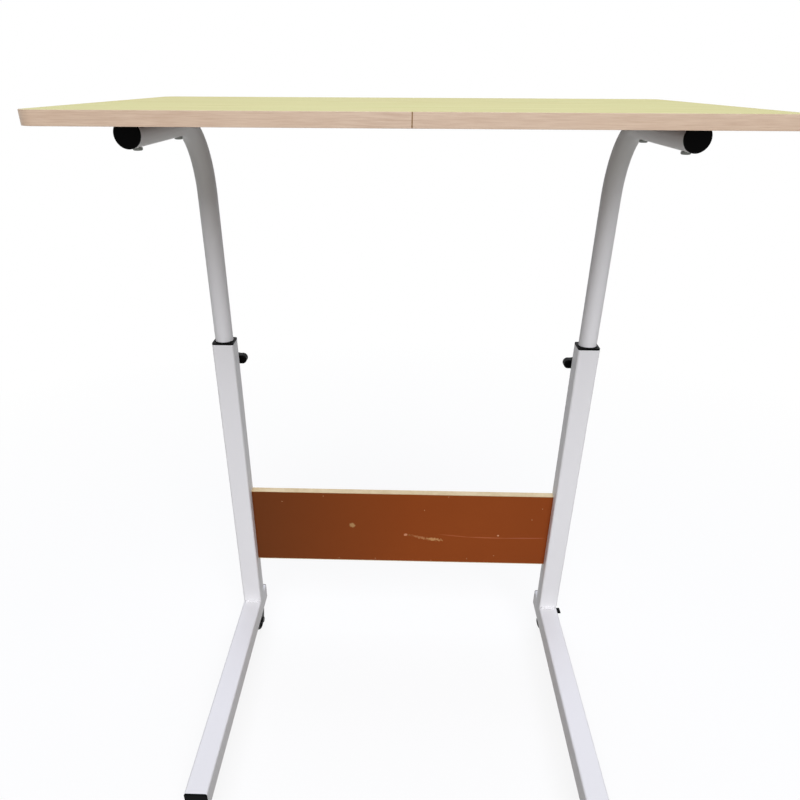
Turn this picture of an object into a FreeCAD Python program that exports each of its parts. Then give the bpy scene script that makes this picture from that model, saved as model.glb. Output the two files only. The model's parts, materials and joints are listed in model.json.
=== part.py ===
"""Mobile desk with a hand-set height: two C-shaped side frames on castors, joined by a tabletop and a crossboard.

Millimetres. X runs across the desk, Y from the sitter's side to the back, Z up.
The origin is on the floor, under the middle of the whole desk.
"""

import FreeCAD
import Part
import math
import os

Vec = FreeCAD.Vector
X_AXIS = Vec(1, 0, 0)
Y_AXIS = Vec(0, 1, 0)
Z_AXIS = Vec(0, 0, 1)
SIDES = (("left", -1), ("right", 1))

# Fits, and how far a cutter runs past the faces it opens
running_clearance = 0.05
screw_clearance = 0.05
slide_clearance = 0.08
plug_clearance = 0.1
bush_clearance = 0.3
stud_hole_clearance = 0.5
run_past = 1.0

# Tabletop
top_width = 600.0
top_depth = 400.0
top_surface_z = 840.0
top_thick = 11.0
top_corner = 15.0
band_thick = 1.0
band_seam_x = 1.3
band_seam_gap = 0.8

# Round top tubes, with a cap in front and a guide bush below
tube_radius = 12.5
tube_wall = 1.2
tube_from_top_side = 44.0
bend_radius = 85.0
tube_inserted = 80.0
cap_behind_edge = 114.0
cap_thick = 2.5
cap_edge = 1.5
cap_insert = 14.0
plug_wall = 2.0
bush_height = 10.0
bush_insert = 16.0

# Screws that hold the tabletop; the hexagon socket is the same in all the screws
front_screw_from_cap = 24.0
rear_screw_from_bend = 10.0
top_screw_radius = 2.5
top_screw_head_radius = 4.75
top_screw_head = 2.6
top_screw_head_edge = 1.5
socket_flats = 4.0
socket_depth = 1.4
screw_end_gap = 1.0
insert_radius = 5.0
insert_cover = 3.0

# Collars in the upright tops
collar_wall = 1.12
collar_flange = 2.5
collar_insert = 22.0
collar_rim = 0.8
collar_rim_width = 1.6

# Square tubes of the base
square_wall = 1.2
square_corner = 3.0
foot_length = 430.0
upright_length = 460.0
upright_from_foot_end = 32.0
upright_from_top_rear = 30.0
foot_plug_flange = 2.5
foot_plug_insert = 5.0
foot_plug_bevel = 1.0

# Weld beads: each ripple tapers from the radius to the low radius
bead_radius = 3.2
bead_low_radius = 2.4
bead_ripples = 5

# Hexagon nuts on the clamp studs and the castor stems
nut_flats = 13.0
nut_height = 6.5

# Castors
castor_behind_plug = 8.5
castor_trail = 12.0
wheel_radius = 19.0
wheel_width = 16.0
wheel_edge = 2.5
wheel_rim = 5.0
wheel_dish = 2.5
wheel_hub_radius = 7.5
axle_radius = 3.0
axle_head_radius = 5.0
axle_head = 1.5
fork_thick = 2.2
fork_side_gap = 0.8
fork_crown = 2.8
fork_crown_gap = 3.2
fork_front = 2.0
fork_front_drop = 4.0
fork_behind_pivot = 3.0
fork_boss_radius = 7.0
swivel_gap = 0.6
stem_radius = 4.0
stem_flange = 3.4
stem_past_nut = 4.3
stem_head_radius = 5.5
stem_head = 1.4
stem_head_gap = 0.4

# Brake pedals of the right castors
pedal_behind_axle = 4.5
pedal_above_wheel = 3.0
pedal_pin_radius = 1.5
pedal_length = 15.0
pedal_width = 13.0
pedal_thick = 2.2
pedal_rise = 4.0
pedal_arm_front = 2.5
pedal_arm_rear = 4.0
pedal_front_drop = 1.4
pedal_cam_drop = 2.8
pedal_crown_gap = 1.5

# Castor rest angles: the trailing side's heading, in degrees from +X towards +Y
castor_headings = {
    "left_front": 165.0,
    "left_rear": -95.0,
    "right_front": 20.0,
    "right_rear": 2.0,
}

# Clamp knobs behind the uprights
knob_below_collar = 14.0
knob_radius = 22.0
knob_lobes = 3
knob_lobe_radius = 6.5
knob_valley_depth = 12.0
knob_length = 18.0
knob_hub_length = 3.0
knob_hub_radius = 8.0
knob_hub_flare = 1.5
knob_edge = 2.5
knob_gap = 2.0
stud_radius = 4.0
stud_tip_gap = 0.35
stud_in_knob = 12.0
stud_end_gap = 0.3

# Crossboard
crossboard_bottom_z = 160.0
crossboard_height = 132.0
crossboard_thick = 12.0
crossboard_screw_inset = 32.0
crossboard_screw_radius = 3.0
crossboard_screw_depth = 24.0
crossboard_screw_head_radius = 6.0
crossboard_screw_head = 3.0
crossboard_screw_head_edge = 1.5

# Tube sizes that follow from the fits
tube_bore = tube_radius - tube_wall
collar_bore = tube_radius + slide_clearance
square_bore = 2 * (collar_bore + collar_wall + plug_clearance)
square_side = square_bore + 2 * square_wall
tube_x = top_width / 2 - tube_from_top_side

# Castor heights, from the floor up
fork_crown_z = 2 * wheel_radius + fork_crown_gap
fork_top_z = fork_crown_z + fork_crown
stem_flange_z = fork_top_z + swivel_gap
castor_height = stem_flange_z + stem_flange

# Desk heights
foot_top_z = castor_height + square_side
upright_top_z = foot_top_z + upright_length
knob_z = upright_top_z - collar_insert - knob_below_collar
tube_low_z = upright_top_z - tube_inserted
top_underside_z = top_surface_z - top_thick
tube_z = top_underside_z - tube_radius
insert_length = top_thick - insert_cover

# Fore-and-aft layout: the foot plugs reach furthest forward, the knobs furthest back
upright_from_foot_middle = foot_length / 2 - upright_from_foot_end
front_reach = foot_length / 2 + foot_plug_flange
rear_reach = upright_from_foot_middle + square_side / 2 + nut_height + knob_gap + knob_length
foot_mid_y = (front_reach - rear_reach) / 2
upright_y = foot_mid_y + upright_from_foot_middle
upright_rear_y = upright_y + square_side / 2
knob_front_y = upright_rear_y + nut_height + knob_gap
top_front_y = upright_y + upright_from_top_rear - top_depth
cap_face_y = top_front_y + cap_behind_edge
bend_y = upright_y - bend_radius
top_screw_ys = (cap_face_y + front_screw_from_cap, bend_y - rear_screw_from_bend)
castor_reach = foot_length / 2 - foot_plug_insert - castor_behind_plug
castor_ys = {"front": foot_mid_y - castor_reach, "rear": foot_mid_y + castor_reach}


def cylinder(radius, length, start, direction):
    return Part.makeCylinder(radius, length, start, direction)


def box(low, high):
    return Part.makeBox(high.x - low.x, high.y - low.y, high.z - low.z, low)


def rounded_bar(side_x, side_y, length, corner):
    """Bar along +Z with its four long edges rounded, standing on the origin."""
    bar = box(Vec(-side_x / 2, -side_y / 2, 0), Vec(side_x / 2, side_y / 2, length))
    long_edges = [e for e in bar.Edges if abs(e.tangentAt(e.FirstParameter).z) > 0.5]
    return bar.makeFillet(corner, long_edges)


def square_tube(length):
    """Square tube along +Z, standing on the origin."""
    outer = rounded_bar(square_side, square_side, length, square_corner)
    return outer.cut(rounded_bar(square_bore, square_bore, length, square_corner - square_wall))


def hex_prism(flats, length):
    """Hexagonal bar along +Z, standing on the origin."""
    corner = flats / math.sqrt(3)
    angles = [math.radians(60 * k) for k in range(7)]
    outline = Part.makePolygon([Vec(corner * math.cos(a), corner * math.sin(a), 0) for a in angles])
    return Part.Face(outline).extrude(Vec(0, 0, length))


def hex_nut(bore):
    return hex_prism(nut_flats, nut_height).cut(cylinder(bore, nut_height, Vec(0, 0, 0), Z_AXIS))


def round_head(radius, length, edge):
    """Button head from the origin along +Z, with its starting rim rounded."""
    head = cylinder(radius, length, Vec(0, 0, 0), Z_AXIS)
    rim = [e for e in head.Edges if e.BoundBox.ZMax < length / 2]
    return head.makeFillet(edge, rim)


def lay_along_y(shape):
    """Turn a shape built along +Z so that it runs along +Y."""
    shape.rotate(Vec(0, 0, 0), X_AXIS, -90)
    return shape


def save(node, *solids):
    shape = solids[0] if len(solids) == 1 else Part.makeCompound(list(solids))
    shape.exportStep("parts/%s.step" % node)


# Tabletop
def top_plate(inset):
    """The top's rounded outline as a full-thickness plate, drawn in by the inset."""
    plate = rounded_bar(top_width - 2 * inset, top_depth - 2 * inset, top_thick, top_corner - inset)
    plate.translate(Vec(0, top_front_y + top_depth / 2, top_underside_z))
    return plate


def top_screw_spots():
    return [Vec(x, y, top_underside_z) for x in (-tube_x, tube_x) for y in top_screw_ys]


def tabletop_board():
    holes = []
    for spot in top_screw_spots():
        holes.append(cylinder(insert_radius + screw_clearance, insert_length + screw_end_gap, spot, Z_AXIS))
    return top_plate(band_thick).cut(holes)


def tabletop_edge_band():
    """One strip round the board, open at its butt seam in the front edge."""
    half_gap = band_seam_gap / 2
    seam_low = Vec(band_seam_x - half_gap, top_front_y - run_past, top_underside_z - run_past)
    seam_high = Vec(band_seam_x + half_gap, top_front_y + band_thick + run_past, top_surface_z + run_past)
    return top_plate(0).cut([top_plate(band_thick), box(seam_low, seam_high)])


def top_insert_nut(spot):
    nut = cylinder(insert_radius, insert_length, spot, Z_AXIS)
    return nut.cut(cylinder(top_screw_radius + screw_clearance, insert_length, spot, Z_AXIS))


def top_screw(spot):
    """Pan-head socket screw from below, through the round tube into the insert nut."""
    length = 2 * tube_radius + insert_length - screw_end_gap
    shank = cylinder(top_screw_radius, length, Vec(0, 0, top_screw_head), Z_AXIS)
    head = round_head(top_screw_head_radius, top_screw_head, top_screw_head_edge)
    screw = shank.fuse(head).cut(hex_prism(socket_flats, socket_depth))
    screw.translate(spot - Z_AXIS * (2 * tube_radius + top_screw_head))
    return screw


# Round top tubes
def bent_rod(x, radius):
    """Round rod: level run under the top, quarter bend, vertical run into the upright."""
    front_y = cap_face_y + cap_thick
    bend_z = tube_z - bend_radius
    level = cylinder(radius, bend_y - front_y, Vec(x, front_y, tube_z), Y_AXIS)
    disc = Part.Face(Part.Wire(Part.makeCircle(radius, Vec(x, bend_y, tube_z), Y_AXIS)))
    bend = disc.revolve(Vec(x, bend_y, bend_z), Vec(-1, 0, 0), 90)
    vertical = cylinder(radius, bend_z - tube_low_z, Vec(x, upright_y, tube_low_z), Z_AXIS)
    return level.fuse([bend, vertical])


def top_tube(x):
    tube = bent_rod(x, tube_radius).cut(bent_rod(x, tube_bore))
    hole_length = 2 * (tube_radius + run_past)
    for y in top_screw_ys:
        start = Vec(x, y, tube_z - tube_radius - run_past)
        tube = tube.cut(cylinder(top_screw_radius + screw_clearance, hole_length, start, Z_AXIS))
    return tube


def front_cap(x):
    """Black plug in the front end of a round tube, with a softly rounded face."""
    flange = round_head(tube_radius, cap_thick, cap_edge)
    radius = tube_bore - plug_clearance
    seat = Vec(0, 0, cap_thick)
    insert = cylinder(radius, cap_insert, seat, Z_AXIS).cut(cylinder(radius - plug_wall, cap_insert, seat, Z_AXIS))
    cap = lay_along_y(flange.fuse(insert))
    cap.translate(Vec(x, cap_face_y, tube_z))
    return cap


def guide_bush(x):
    """Plastic bush on the lower end of a round tube: square head in the upright, plug up the tube."""
    head_side = square_bore - 2 * bush_clearance
    head = rounded_bar(head_side, head_side, bush_height, square_corner)
    head.translate(Vec(x, upright_y, tube_low_z - bush_height))
    plug = cylinder(tube_bore - plug_clearance, bush_insert, Vec(x, upright_y, tube_low_z), Z_AXIS)
    return head.fuse(plug)


# Base frame
def upright(sign):
    tube = square_tube(upright_length)
    tube.translate(Vec(sign * tube_x, upright_y, foot_top_z))
    stud_hole = cylinder(stud_radius + stud_hole_clearance, square_side, Vec(sign * tube_x, upright_y, knob_z), Y_AXIS)
    screw_holes = [crossboard_screw_hole(start, direction) for start, direction in crossboard_screw_seats(sign)]
    return tube.cut([stud_hole] + screw_holes)


def foot(sign):
    tube = lay_along_y(square_tube(foot_length))
    tube.translate(Vec(sign * tube_x, foot_mid_y - foot_length / 2, castor_height + square_side / 2))
    holes = []
    for y in castor_ys.values():
        start = Vec(sign * tube_x, y, castor_height - run_past)
        holes.append(cylinder(stem_radius + screw_clearance, square_wall + 2 * run_past, start, Z_AXIS))
    return tube.cut(holes)


def foot_plug(sign, end):
    """Square end plug: bevelled flange over the tube end, walls that push into it."""
    flange = rounded_bar(square_side, square_side, foot_plug_flange, square_corner)
    face_edges = [e for e in flange.Edges if e.BoundBox.ZMax < foot_plug_flange / 2]
    flange = flange.makeChamfer(foot_plug_bevel, face_edges)
    side = square_bore - 2 * plug_clearance
    hollow = side / 2 - plug_wall
    insert = rounded_bar(side, side, foot_plug_insert, square_corner - square_wall)
    insert = insert.cut(box(Vec(-hollow, -hollow, 0), Vec(hollow, hollow, foot_plug_insert)))
    insert.translate(Vec(0, 0, foot_plug_flange))
    plug = lay_along_y(flange.fuse(insert))
    if end > 0:
        plug.rotate(Vec(0, 0, 0), Z_AXIS, 180)
    face_y = foot_mid_y + end * (foot_length / 2 + foot_plug_flange)
    plug.translate(Vec(sign * tube_x, face_y, castor_height + square_side / 2))
    return plug


def weld_bead(sign, face_y, outward):
    """Rippled fillet along the foot of an upright's front or rear face."""
    width = square_side - 2 * square_corner
    step = width / bead_ripples
    start_x = sign * tube_x - width / 2
    ripples = []
    for k in range(bead_ripples):
        start = Vec(start_x + k * step, face_y, foot_top_z)
        ripples.append(Part.makeCone(bead_radius, bead_low_radius, step, start, X_AXIS))
    bead = ripples[0].fuse(ripples[1:])
    near, far = sorted((face_y, face_y + outward * 2 * bead_radius))
    corner_low = Vec(start_x - run_past, near, foot_top_z)
    corner_high = Vec(start_x + width + run_past, far, foot_top_z + 2 * bead_radius)
    return bead.common(box(corner_low, corner_high))


def collar(sign):
    """Plastic sleeve in the upright's top: square flange, raised ring, round bore for the round tube."""
    side = square_bore - 2 * plug_clearance
    insert = rounded_bar(side, side, collar_insert, square_corner - square_wall)
    flange = rounded_bar(square_side, square_side, collar_flange, square_corner)
    flange.translate(Vec(0, 0, collar_insert))
    rim_z = collar_insert + collar_flange
    rim = cylinder(collar_bore + collar_rim_width, collar_rim, Vec(0, 0, rim_z), Z_AXIS)
    bore = cylinder(collar_bore, rim_z + collar_rim, Vec(0, 0, 0), Z_AXIS)
    sleeve = insert.fuse([flange, rim]).cut(bore)
    sleeve.translate(Vec(sign * tube_x, upright_y, upright_top_z - collar_insert))
    return sleeve


# Crossboard
def crossboard_strip(start, height):
    """Full-width slice of the crossboard, from a start above its lower edge."""
    half_width = tube_x - square_side / 2
    low_z = crossboard_bottom_z + start
    return box(Vec(-half_width, upright_y, low_z), Vec(half_width, upright_y + crossboard_thick, low_z + height))


def crossboard_screw_seats(sign):
    """Where each screw meets the outer face of an upright, and which way it runs."""
    seats = []
    for inset in (crossboard_screw_inset, crossboard_height - crossboard_screw_inset):
        outer_x = sign * (tube_x + square_side / 2)
        start = Vec(outer_x, upright_y + crossboard_thick / 2, crossboard_bottom_z + inset)
        seats.append((start, Vec(-sign, 0, 0)))
    return seats


def crossboard_screw_hole(start, direction):
    depth = square_side + crossboard_screw_depth + screw_end_gap
    return cylinder(crossboard_screw_radius + screw_clearance, depth, start, direction)


def crossboard():
    board = crossboard_strip(band_thick, crossboard_height - 2 * band_thick)
    seats = [seat for _, sign in SIDES for seat in crossboard_screw_seats(sign)]
    return board.cut([crossboard_screw_hole(start, direction) for start, direction in seats])


def crossboard_edge_bands():
    return crossboard_strip(0, band_thick), crossboard_strip(crossboard_height - band_thick, band_thick)


def crossboard_screw(start, direction):
    length = square_side + crossboard_screw_depth
    shank = cylinder(crossboard_screw_radius, length, Vec(0, 0, crossboard_screw_head), Z_AXIS)
    head = round_head(crossboard_screw_head_radius, crossboard_screw_head, crossboard_screw_head_edge)
    screw = shank.fuse(head).cut(hex_prism(socket_flats, socket_depth))
    screw.rotate(Vec(0, 0, 0), Y_AXIS, 90 * direction.x)
    screw.translate(start - direction * crossboard_screw_head)
    return screw


# Clamps: nut on the upright's rear wall, stud that presses the round tube, three-lobed knob
def clamp_nut(sign):
    nut = lay_along_y(hex_nut(stud_radius + running_clearance))
    nut.translate(Vec(sign * tube_x, upright_rear_y, knob_z))
    return nut


def clamp_stud(sign):
    tip_y = upright_y + tube_radius + stud_tip_gap
    end_y = knob_front_y + stud_in_knob
    return cylinder(stud_radius, end_y - tip_y, Vec(sign * tube_x, tip_y, knob_z), Y_AXIS)


def polar(radius, angle):
    return Vec(radius * math.cos(angle), radius * math.sin(angle), 0)


def lobed_outline():
    """Closed outline of tangent arcs: round lobes with round valleys between them."""
    half_pitch = math.pi / knob_lobes
    lobe_centre = knob_radius - knob_lobe_radius
    waist = knob_radius - knob_valley_depth
    along = lobe_centre * math.cos(half_pitch)
    waist_to_lobe_squared = lobe_centre ** 2 + waist ** 2 - 2 * waist * along
    valley_radius = (waist_to_lobe_squared - knob_lobe_radius ** 2) / (2 * (knob_lobe_radius + along - waist))
    lobe_share = knob_lobe_radius / (knob_lobe_radius + valley_radius)

    def meeting(lobe_angle, valley_angle):
        lobe = polar(lobe_centre, lobe_angle)
        return lobe + (polar(waist + valley_radius, valley_angle) - lobe) * lobe_share

    arcs = []
    for k in range(knob_lobes):
        angle = 2 * half_pitch * k
        before = meeting(angle, angle - half_pitch)
        after = meeting(angle, angle + half_pitch)
        following = meeting(angle + 2 * half_pitch, angle + half_pitch)
        arcs.append(Part.Arc(before, polar(knob_radius, angle), after).toShape())
        arcs.append(Part.Arc(after, polar(waist, angle + half_pitch), following).toShape())
    return Part.Wire(arcs)


def clamp_knob(sign):
    """Three-lobed knob with one lobe towards the middle of the desk."""
    head = Part.Face(lobed_outline()).extrude(Vec(0, 0, knob_length - knob_hub_length))
    rims = [e for e in head.Edges if e.BoundBox.ZLength < knob_edge]
    head = head.makeFillet(knob_edge, rims)
    head.translate(Vec(0, 0, knob_hub_length))
    hub = Part.makeCone(knob_hub_radius, knob_hub_radius + knob_hub_flare, knob_hub_length + knob_edge)
    bore = cylinder(stud_radius + running_clearance, stud_in_knob + stud_end_gap, Vec(0, 0, 0), Z_AXIS)
    knob = head.fuse(hub).cut(bore)
    if sign > 0:
        knob.rotate(Vec(0, 0, 0), Z_AXIS, 180)
    knob = lay_along_y(knob)
    knob.translate(Vec(sign * tube_x, knob_front_y, knob_z))
    return knob


# Castors, built with the stem on the Z axis and the wheel trailing along +X
fork_half_inside = wheel_width / 2 + fork_side_gap
fork_half_outside = fork_half_inside + fork_thick
axle_centre = Vec(castor_trail, 0, wheel_radius)
pedal_pivot = Vec(castor_trail + pedal_behind_axle, 0, 2 * wheel_radius + pedal_above_wheel)


def cross_pin(radius, half_length, centre):
    """Pin across the castor, centred on its middle plane."""
    return cylinder(radius, 2 * half_length, centre - Y_AXIS * half_length, Y_AXIS)


def tangent_point(outside, centre, radius, turn):
    """Where a line from an outside point touches a circle in the XZ plane; turn picks the side."""
    to_point = outside - centre
    spread = math.acos(radius / to_point.Length)
    angle = math.atan2(to_point.z, to_point.x) + turn * spread
    return centre + Vec(radius * math.cos(angle), 0, radius * math.sin(angle))


def fork_cheek(y):
    front = Vec(-fork_front, 0, fork_top_z - fork_front_drop)
    front_top = Vec(-fork_front, 0, fork_top_z)
    rear_top = Vec(pedal_pivot.x + fork_behind_pivot, 0, fork_top_z)
    rear_touch = tangent_point(rear_top, axle_centre, fork_boss_radius, -1)
    front_touch = tangent_point(front, axle_centre, fork_boss_radius, 1)
    lowest = axle_centre - Z_AXIS * fork_boss_radius
    edges = [
        Part.makeLine(front, front_top),
        Part.makeLine(front_top, rear_top),
        Part.makeLine(rear_top, rear_touch),
        Part.Arc(rear_touch, lowest, front_touch).toShape(),
        Part.makeLine(front_touch, front),
    ]
    cheek = Part.Face(Part.Wire(edges)).extrude(Vec(0, fork_thick, 0))
    cheek.translate(Vec(0, y, 0))
    return cheek


def castor_fork(braked):
    """Crown plate with two cheeks; a braked one is also bored for the pedal's pin."""
    crown_rear_x = pedal_pivot.x - pedal_arm_front - pedal_crown_gap
    plate = box(Vec(0, -fork_half_outside, fork_crown_z), Vec(crown_rear_x, fork_half_outside, fork_top_z))
    nose = cylinder(fork_half_outside, fork_crown, Vec(0, 0, fork_crown_z), Z_AXIS)
    fork = plate.fuse([nose, fork_cheek(-fork_half_outside), fork_cheek(fork_half_inside)]).removeSplitter()
    stem_bore = cylinder(stem_radius + running_clearance, fork_crown, Vec(0, 0, fork_crown_z), Z_AXIS)
    bores = [stem_bore, cross_pin(axle_radius + screw_clearance, fork_half_outside, axle_centre)]
    if braked:
        bores.append(cross_pin(pedal_pin_radius + screw_clearance, fork_half_outside, pedal_pivot))
    return fork.cut(bores)


def castor_axle():
    pin = cross_pin(axle_radius, fork_half_outside, axle_centre)
    near = axle_centre - Y_AXIS * (fork_half_outside + axle_head)
    far = axle_centre + Y_AXIS * fork_half_outside
    return pin.fuse([cylinder(axle_head_radius, axle_head, start, Y_AXIS) for start in (near, far)])


def castor_wheel():
    half = wheel_width / 2
    wheel = cross_pin(wheel_radius, half, axle_centre)
    rims = [e for e in wheel.Edges if e.BoundBox.YLength < half]
    wheel = wheel.makeFillet(wheel_edge, rims)
    for start in (axle_centre - Y_AXIS * half, axle_centre + Y_AXIS * (half - wheel_dish)):
        dish = cylinder(wheel_radius - wheel_rim, wheel_dish, start, Y_AXIS)
        wheel = wheel.cut(dish.cut(cylinder(wheel_hub_radius, wheel_dish, start, Y_AXIS)))
    return wheel.cut(cross_pin(axle_radius + running_clearance, half, axle_centre))


def brake_pedal():
    """Lever over the back of the wheel; its lower corner presses the tread when the pad goes down."""
    arm_half = fork_half_inside - fork_side_gap
    front_x = pedal_pivot.x - pedal_arm_front
    rear_x = pedal_pivot.x + pedal_arm_rear
    top_z = pedal_pivot.z + pedal_rise
    profile = [
        Vec(front_x, -arm_half, pedal_pivot.z - pedal_front_drop),
        Vec(rear_x, -arm_half, pedal_pivot.z - pedal_cam_drop),
        Vec(rear_x, -arm_half, top_z),
        Vec(front_x, -arm_half, top_z),
    ]
    arm = Part.Face(Part.makePolygon(profile + profile[:1])).extrude(Vec(0, 2 * arm_half, 0))
    pad_low = Vec(rear_x, -pedal_width / 2, top_z - pedal_thick)
    pad_high = Vec(pedal_pivot.x + pedal_length, pedal_width / 2, top_z)
    lever = arm.fuse(box(pad_low, pad_high)).removeSplitter()
    return lever.cut(cross_pin(pedal_pin_radius + running_clearance, arm_half, pedal_pivot))


def brake_pin():
    return cross_pin(pedal_pin_radius, fork_half_outside, pedal_pivot)


def castor_stem():
    """Headed pin below, hexagon against the foot, threaded end above."""
    head_z = fork_crown_z - stem_head_gap - stem_head
    end_z = castor_height + square_wall + nut_height + stem_past_nut
    stem = cylinder(stem_radius, end_z - head_z, Vec(0, 0, head_z), Z_AXIS)
    head = cylinder(stem_head_radius, stem_head, Vec(0, 0, head_z), Z_AXIS)
    flange = hex_prism(nut_flats, stem_flange)
    flange.translate(Vec(0, 0, stem_flange_z))
    return stem.fuse([head, flange])


def castor_nut():
    nut = hex_nut(stem_radius + screw_clearance)
    nut.translate(Vec(0, 0, castor_height + square_wall))
    return nut


def castor_places():
    """Name of each castor, and the spot on the floor under its stem."""
    for side, sign in SIDES:
        for end, y in castor_ys.items():
            yield side + "_" + end, Vec(sign * tube_x, y, 0)


def placed(shape, name, spot):
    """Turn a castor piece to its rest angle and move it under its foot."""
    shape.rotate(Vec(0, 0, 0), Z_AXIS, castor_headings[name])
    shape.translate(spot)
    return shape


def save_top_frame():
    save("tabletop_board", tabletop_board())
    save("tabletop_edge_band", tabletop_edge_band())
    save("tabletop_screws", *[top_screw(spot) for spot in top_screw_spots()])
    save("tabletop_insert_nuts", *[top_insert_nut(spot) for spot in top_screw_spots()])
    for side, sign in SIDES:
        save(side + "_top_tube", top_tube(sign * tube_x))
        save(side + "_front_cap", front_cap(sign * tube_x))
        save(side + "_guide_bush", guide_bush(sign * tube_x))


def save_base_frame():
    for side, sign in SIDES:
        save(side + "_upright", upright(sign))
        save(side + "_foot", foot(sign))
        save(side + "_foot_front_plug", foot_plug(sign, -1))
        save(side + "_foot_rear_plug", foot_plug(sign, 1))
        save(side + "_collar", collar(sign))
    faces = [(upright_y - square_side / 2, -1), (upright_rear_y, 1)]
    save("weld_beads", *[weld_bead(sign, y, outward) for _, sign in SIDES for y, outward in faces])
    save("crossboard", crossboard())
    save("crossboard_edge_bands", *crossboard_edge_bands())
    seats = [seat for _, sign in SIDES for seat in crossboard_screw_seats(sign)]
    save("crossboard_screws", *[crossboard_screw(start, direction) for start, direction in seats])


def save_clamps():
    save("clamp_nuts", *[clamp_nut(sign) for _, sign in SIDES])
    for side, sign in SIDES:
        save(side + "_clamp_stud", clamp_stud(sign))
        save(side + "_clamp_knob", clamp_knob(sign))


def save_castors():
    places = list(castor_places())
    save("castor_stems", *[placed(castor_stem(), name, spot) for name, spot in places])
    save("castor_nuts", *[placed(castor_nut(), name, spot) for name, spot in places])
    for name, spot in places:
        braked = name.startswith("right")
        save(name + "_castor_fork", placed(castor_fork(braked), name, spot))
        save(name + "_castor_axle", placed(castor_axle(), name, spot))
        save(name + "_castor_wheel", placed(castor_wheel(), name, spot))
        if braked:
            save(name + "_brake_pedal", placed(brake_pedal(), name, spot))
            save(name + "_brake_pin", placed(brake_pin(), name, spot))


os.makedirs("parts", exist_ok=True)
save_top_frame()
save_base_frame()
save_clamps()
save_castors()
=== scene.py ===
# %% [markdown]
# # A rolling desk whose height is set by hand
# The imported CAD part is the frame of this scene: every tube, board, plug and castor, at its real size.
# The lesson dresses that frame. A solid that already has the right shape keeps it and gets a finish made
# of shader nodes. A piece that needs softer edges or finer relief is modelled again with bmesh operators,
# in the same place, and stands for its solid.

# %% Load the frame
import json
import math

import bmesh
import bpy
from mathutils import Matrix, Vector


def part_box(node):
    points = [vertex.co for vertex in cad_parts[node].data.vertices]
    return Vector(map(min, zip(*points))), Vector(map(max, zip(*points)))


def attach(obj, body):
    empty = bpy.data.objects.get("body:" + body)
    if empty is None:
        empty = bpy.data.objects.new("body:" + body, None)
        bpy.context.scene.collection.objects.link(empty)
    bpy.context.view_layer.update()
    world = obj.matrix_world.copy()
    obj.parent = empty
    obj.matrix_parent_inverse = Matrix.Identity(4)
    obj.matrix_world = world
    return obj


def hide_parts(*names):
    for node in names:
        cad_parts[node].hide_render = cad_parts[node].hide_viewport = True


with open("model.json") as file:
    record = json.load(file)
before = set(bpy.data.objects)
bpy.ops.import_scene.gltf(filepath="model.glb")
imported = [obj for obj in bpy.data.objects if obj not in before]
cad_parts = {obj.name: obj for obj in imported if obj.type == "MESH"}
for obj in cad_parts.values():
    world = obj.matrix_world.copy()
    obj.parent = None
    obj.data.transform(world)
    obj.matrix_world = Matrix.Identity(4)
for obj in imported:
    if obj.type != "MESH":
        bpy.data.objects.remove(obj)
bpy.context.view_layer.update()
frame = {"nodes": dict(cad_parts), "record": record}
record = frame["record"]

# %% [markdown]
# ## The camera
# The photograph was taken from in front of the sitter's edge, just above the height of the top, with a wide
# lens. Place, direction and lens come from matching the edges of the top, the tubes and the feet.
# The picture was cropped afterwards, so its middle isn't the lens's middle: a small shift puts that right.

# %% Camera
MM = 0.001
PHOTO_WIDTH_PX = 800
SENSOR_MM = 36.0
NEAREST_SEEN = 10 * MM
camera_place = Vector((-1.97, -781.4, 862.5)) * MM
camera_turn = math.radians(1.62)
camera_tilt_down = math.radians(31.10)
camera_roll = math.radians(0.28)
focal_px = 700.4
lens_middle_px = (383.4, 498.7)

camera_data = bpy.data.cameras.new("photo_camera")
camera_data.sensor_width = SENSOR_MM
camera_data.lens = SENSOR_MM * focal_px / PHOTO_WIDTH_PX
camera_data.shift_x = 0.5 - lens_middle_px[0] / PHOTO_WIDTH_PX
camera_data.shift_y = lens_middle_px[1] / PHOTO_WIDTH_PX - 0.5
camera_data.clip_start = NEAREST_SEEN
camera = bpy.data.objects.new("photo_camera", camera_data)
camera.matrix_world = (
    Matrix.Translation(camera_place)
    @ Matrix.Rotation(camera_turn, 4, "Z")
    @ Matrix.Rotation(math.pi / 2 - camera_tilt_down, 4, "X")
    @ Matrix.Rotation(camera_roll, 4, "Z")
)
bpy.context.scene.collection.objects.link(camera)
bpy.context.scene.camera = camera
bpy.context.scene.view_settings.view_transform = "Standard"
print("lens %.1f mm" % camera_data.lens)

# %% [markdown]
# ## Colours and nodes
# Colours are read off as sRGB hex values, but shader sockets hold linear light, so one function converts
# them. A second one adds a shader node, sets it and links it: each finish below is then a short list of such
# lines. A Mix node has a set of sockets for each kind of data, and the numbers of its colour sockets get
# names.

# %% Colour and node helpers
SHARE = 0
FIRST = 6
SECOND = 7
MIXED = 2


def linear(hex_colour):
    """An sRGB hex colour as linear RGBA, by the formula of the sRGB standard."""
    channels = [int(hex_colour[k:k + 2], 16) / 255 for k in (1, 3, 5)]
    return tuple(c / 12.92 if c <= 0.04045 else ((c + 0.055) / 1.055) ** 2.4 for c in channels) + (1.0,)


def add_node(tree, kind, inputs=None, **settings):
    """Add a shader node; each input is a value, or another node's output to link from."""
    node = tree.nodes.new("ShaderNode" + kind)
    for name, value in settings.items():
        setattr(node, name, value)
    for name, value in (inputs or {}).items():
        if isinstance(value, bpy.types.NodeSocket):
            tree.links.new(value, node.inputs[name])
        else:
            node.inputs[name].default_value = value
    return node


def start_material(name):
    """A material with one Principled surface, and its node tree."""
    material = bpy.data.materials.new(name)
    material.use_nodes = True
    tree = material.node_tree
    tree.nodes.clear()
    surface = add_node(tree, "BsdfPrincipled")
    add_node(tree, "OutputMaterial", {"Surface": surface.outputs["BSDF"]})
    return material, tree, surface


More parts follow.
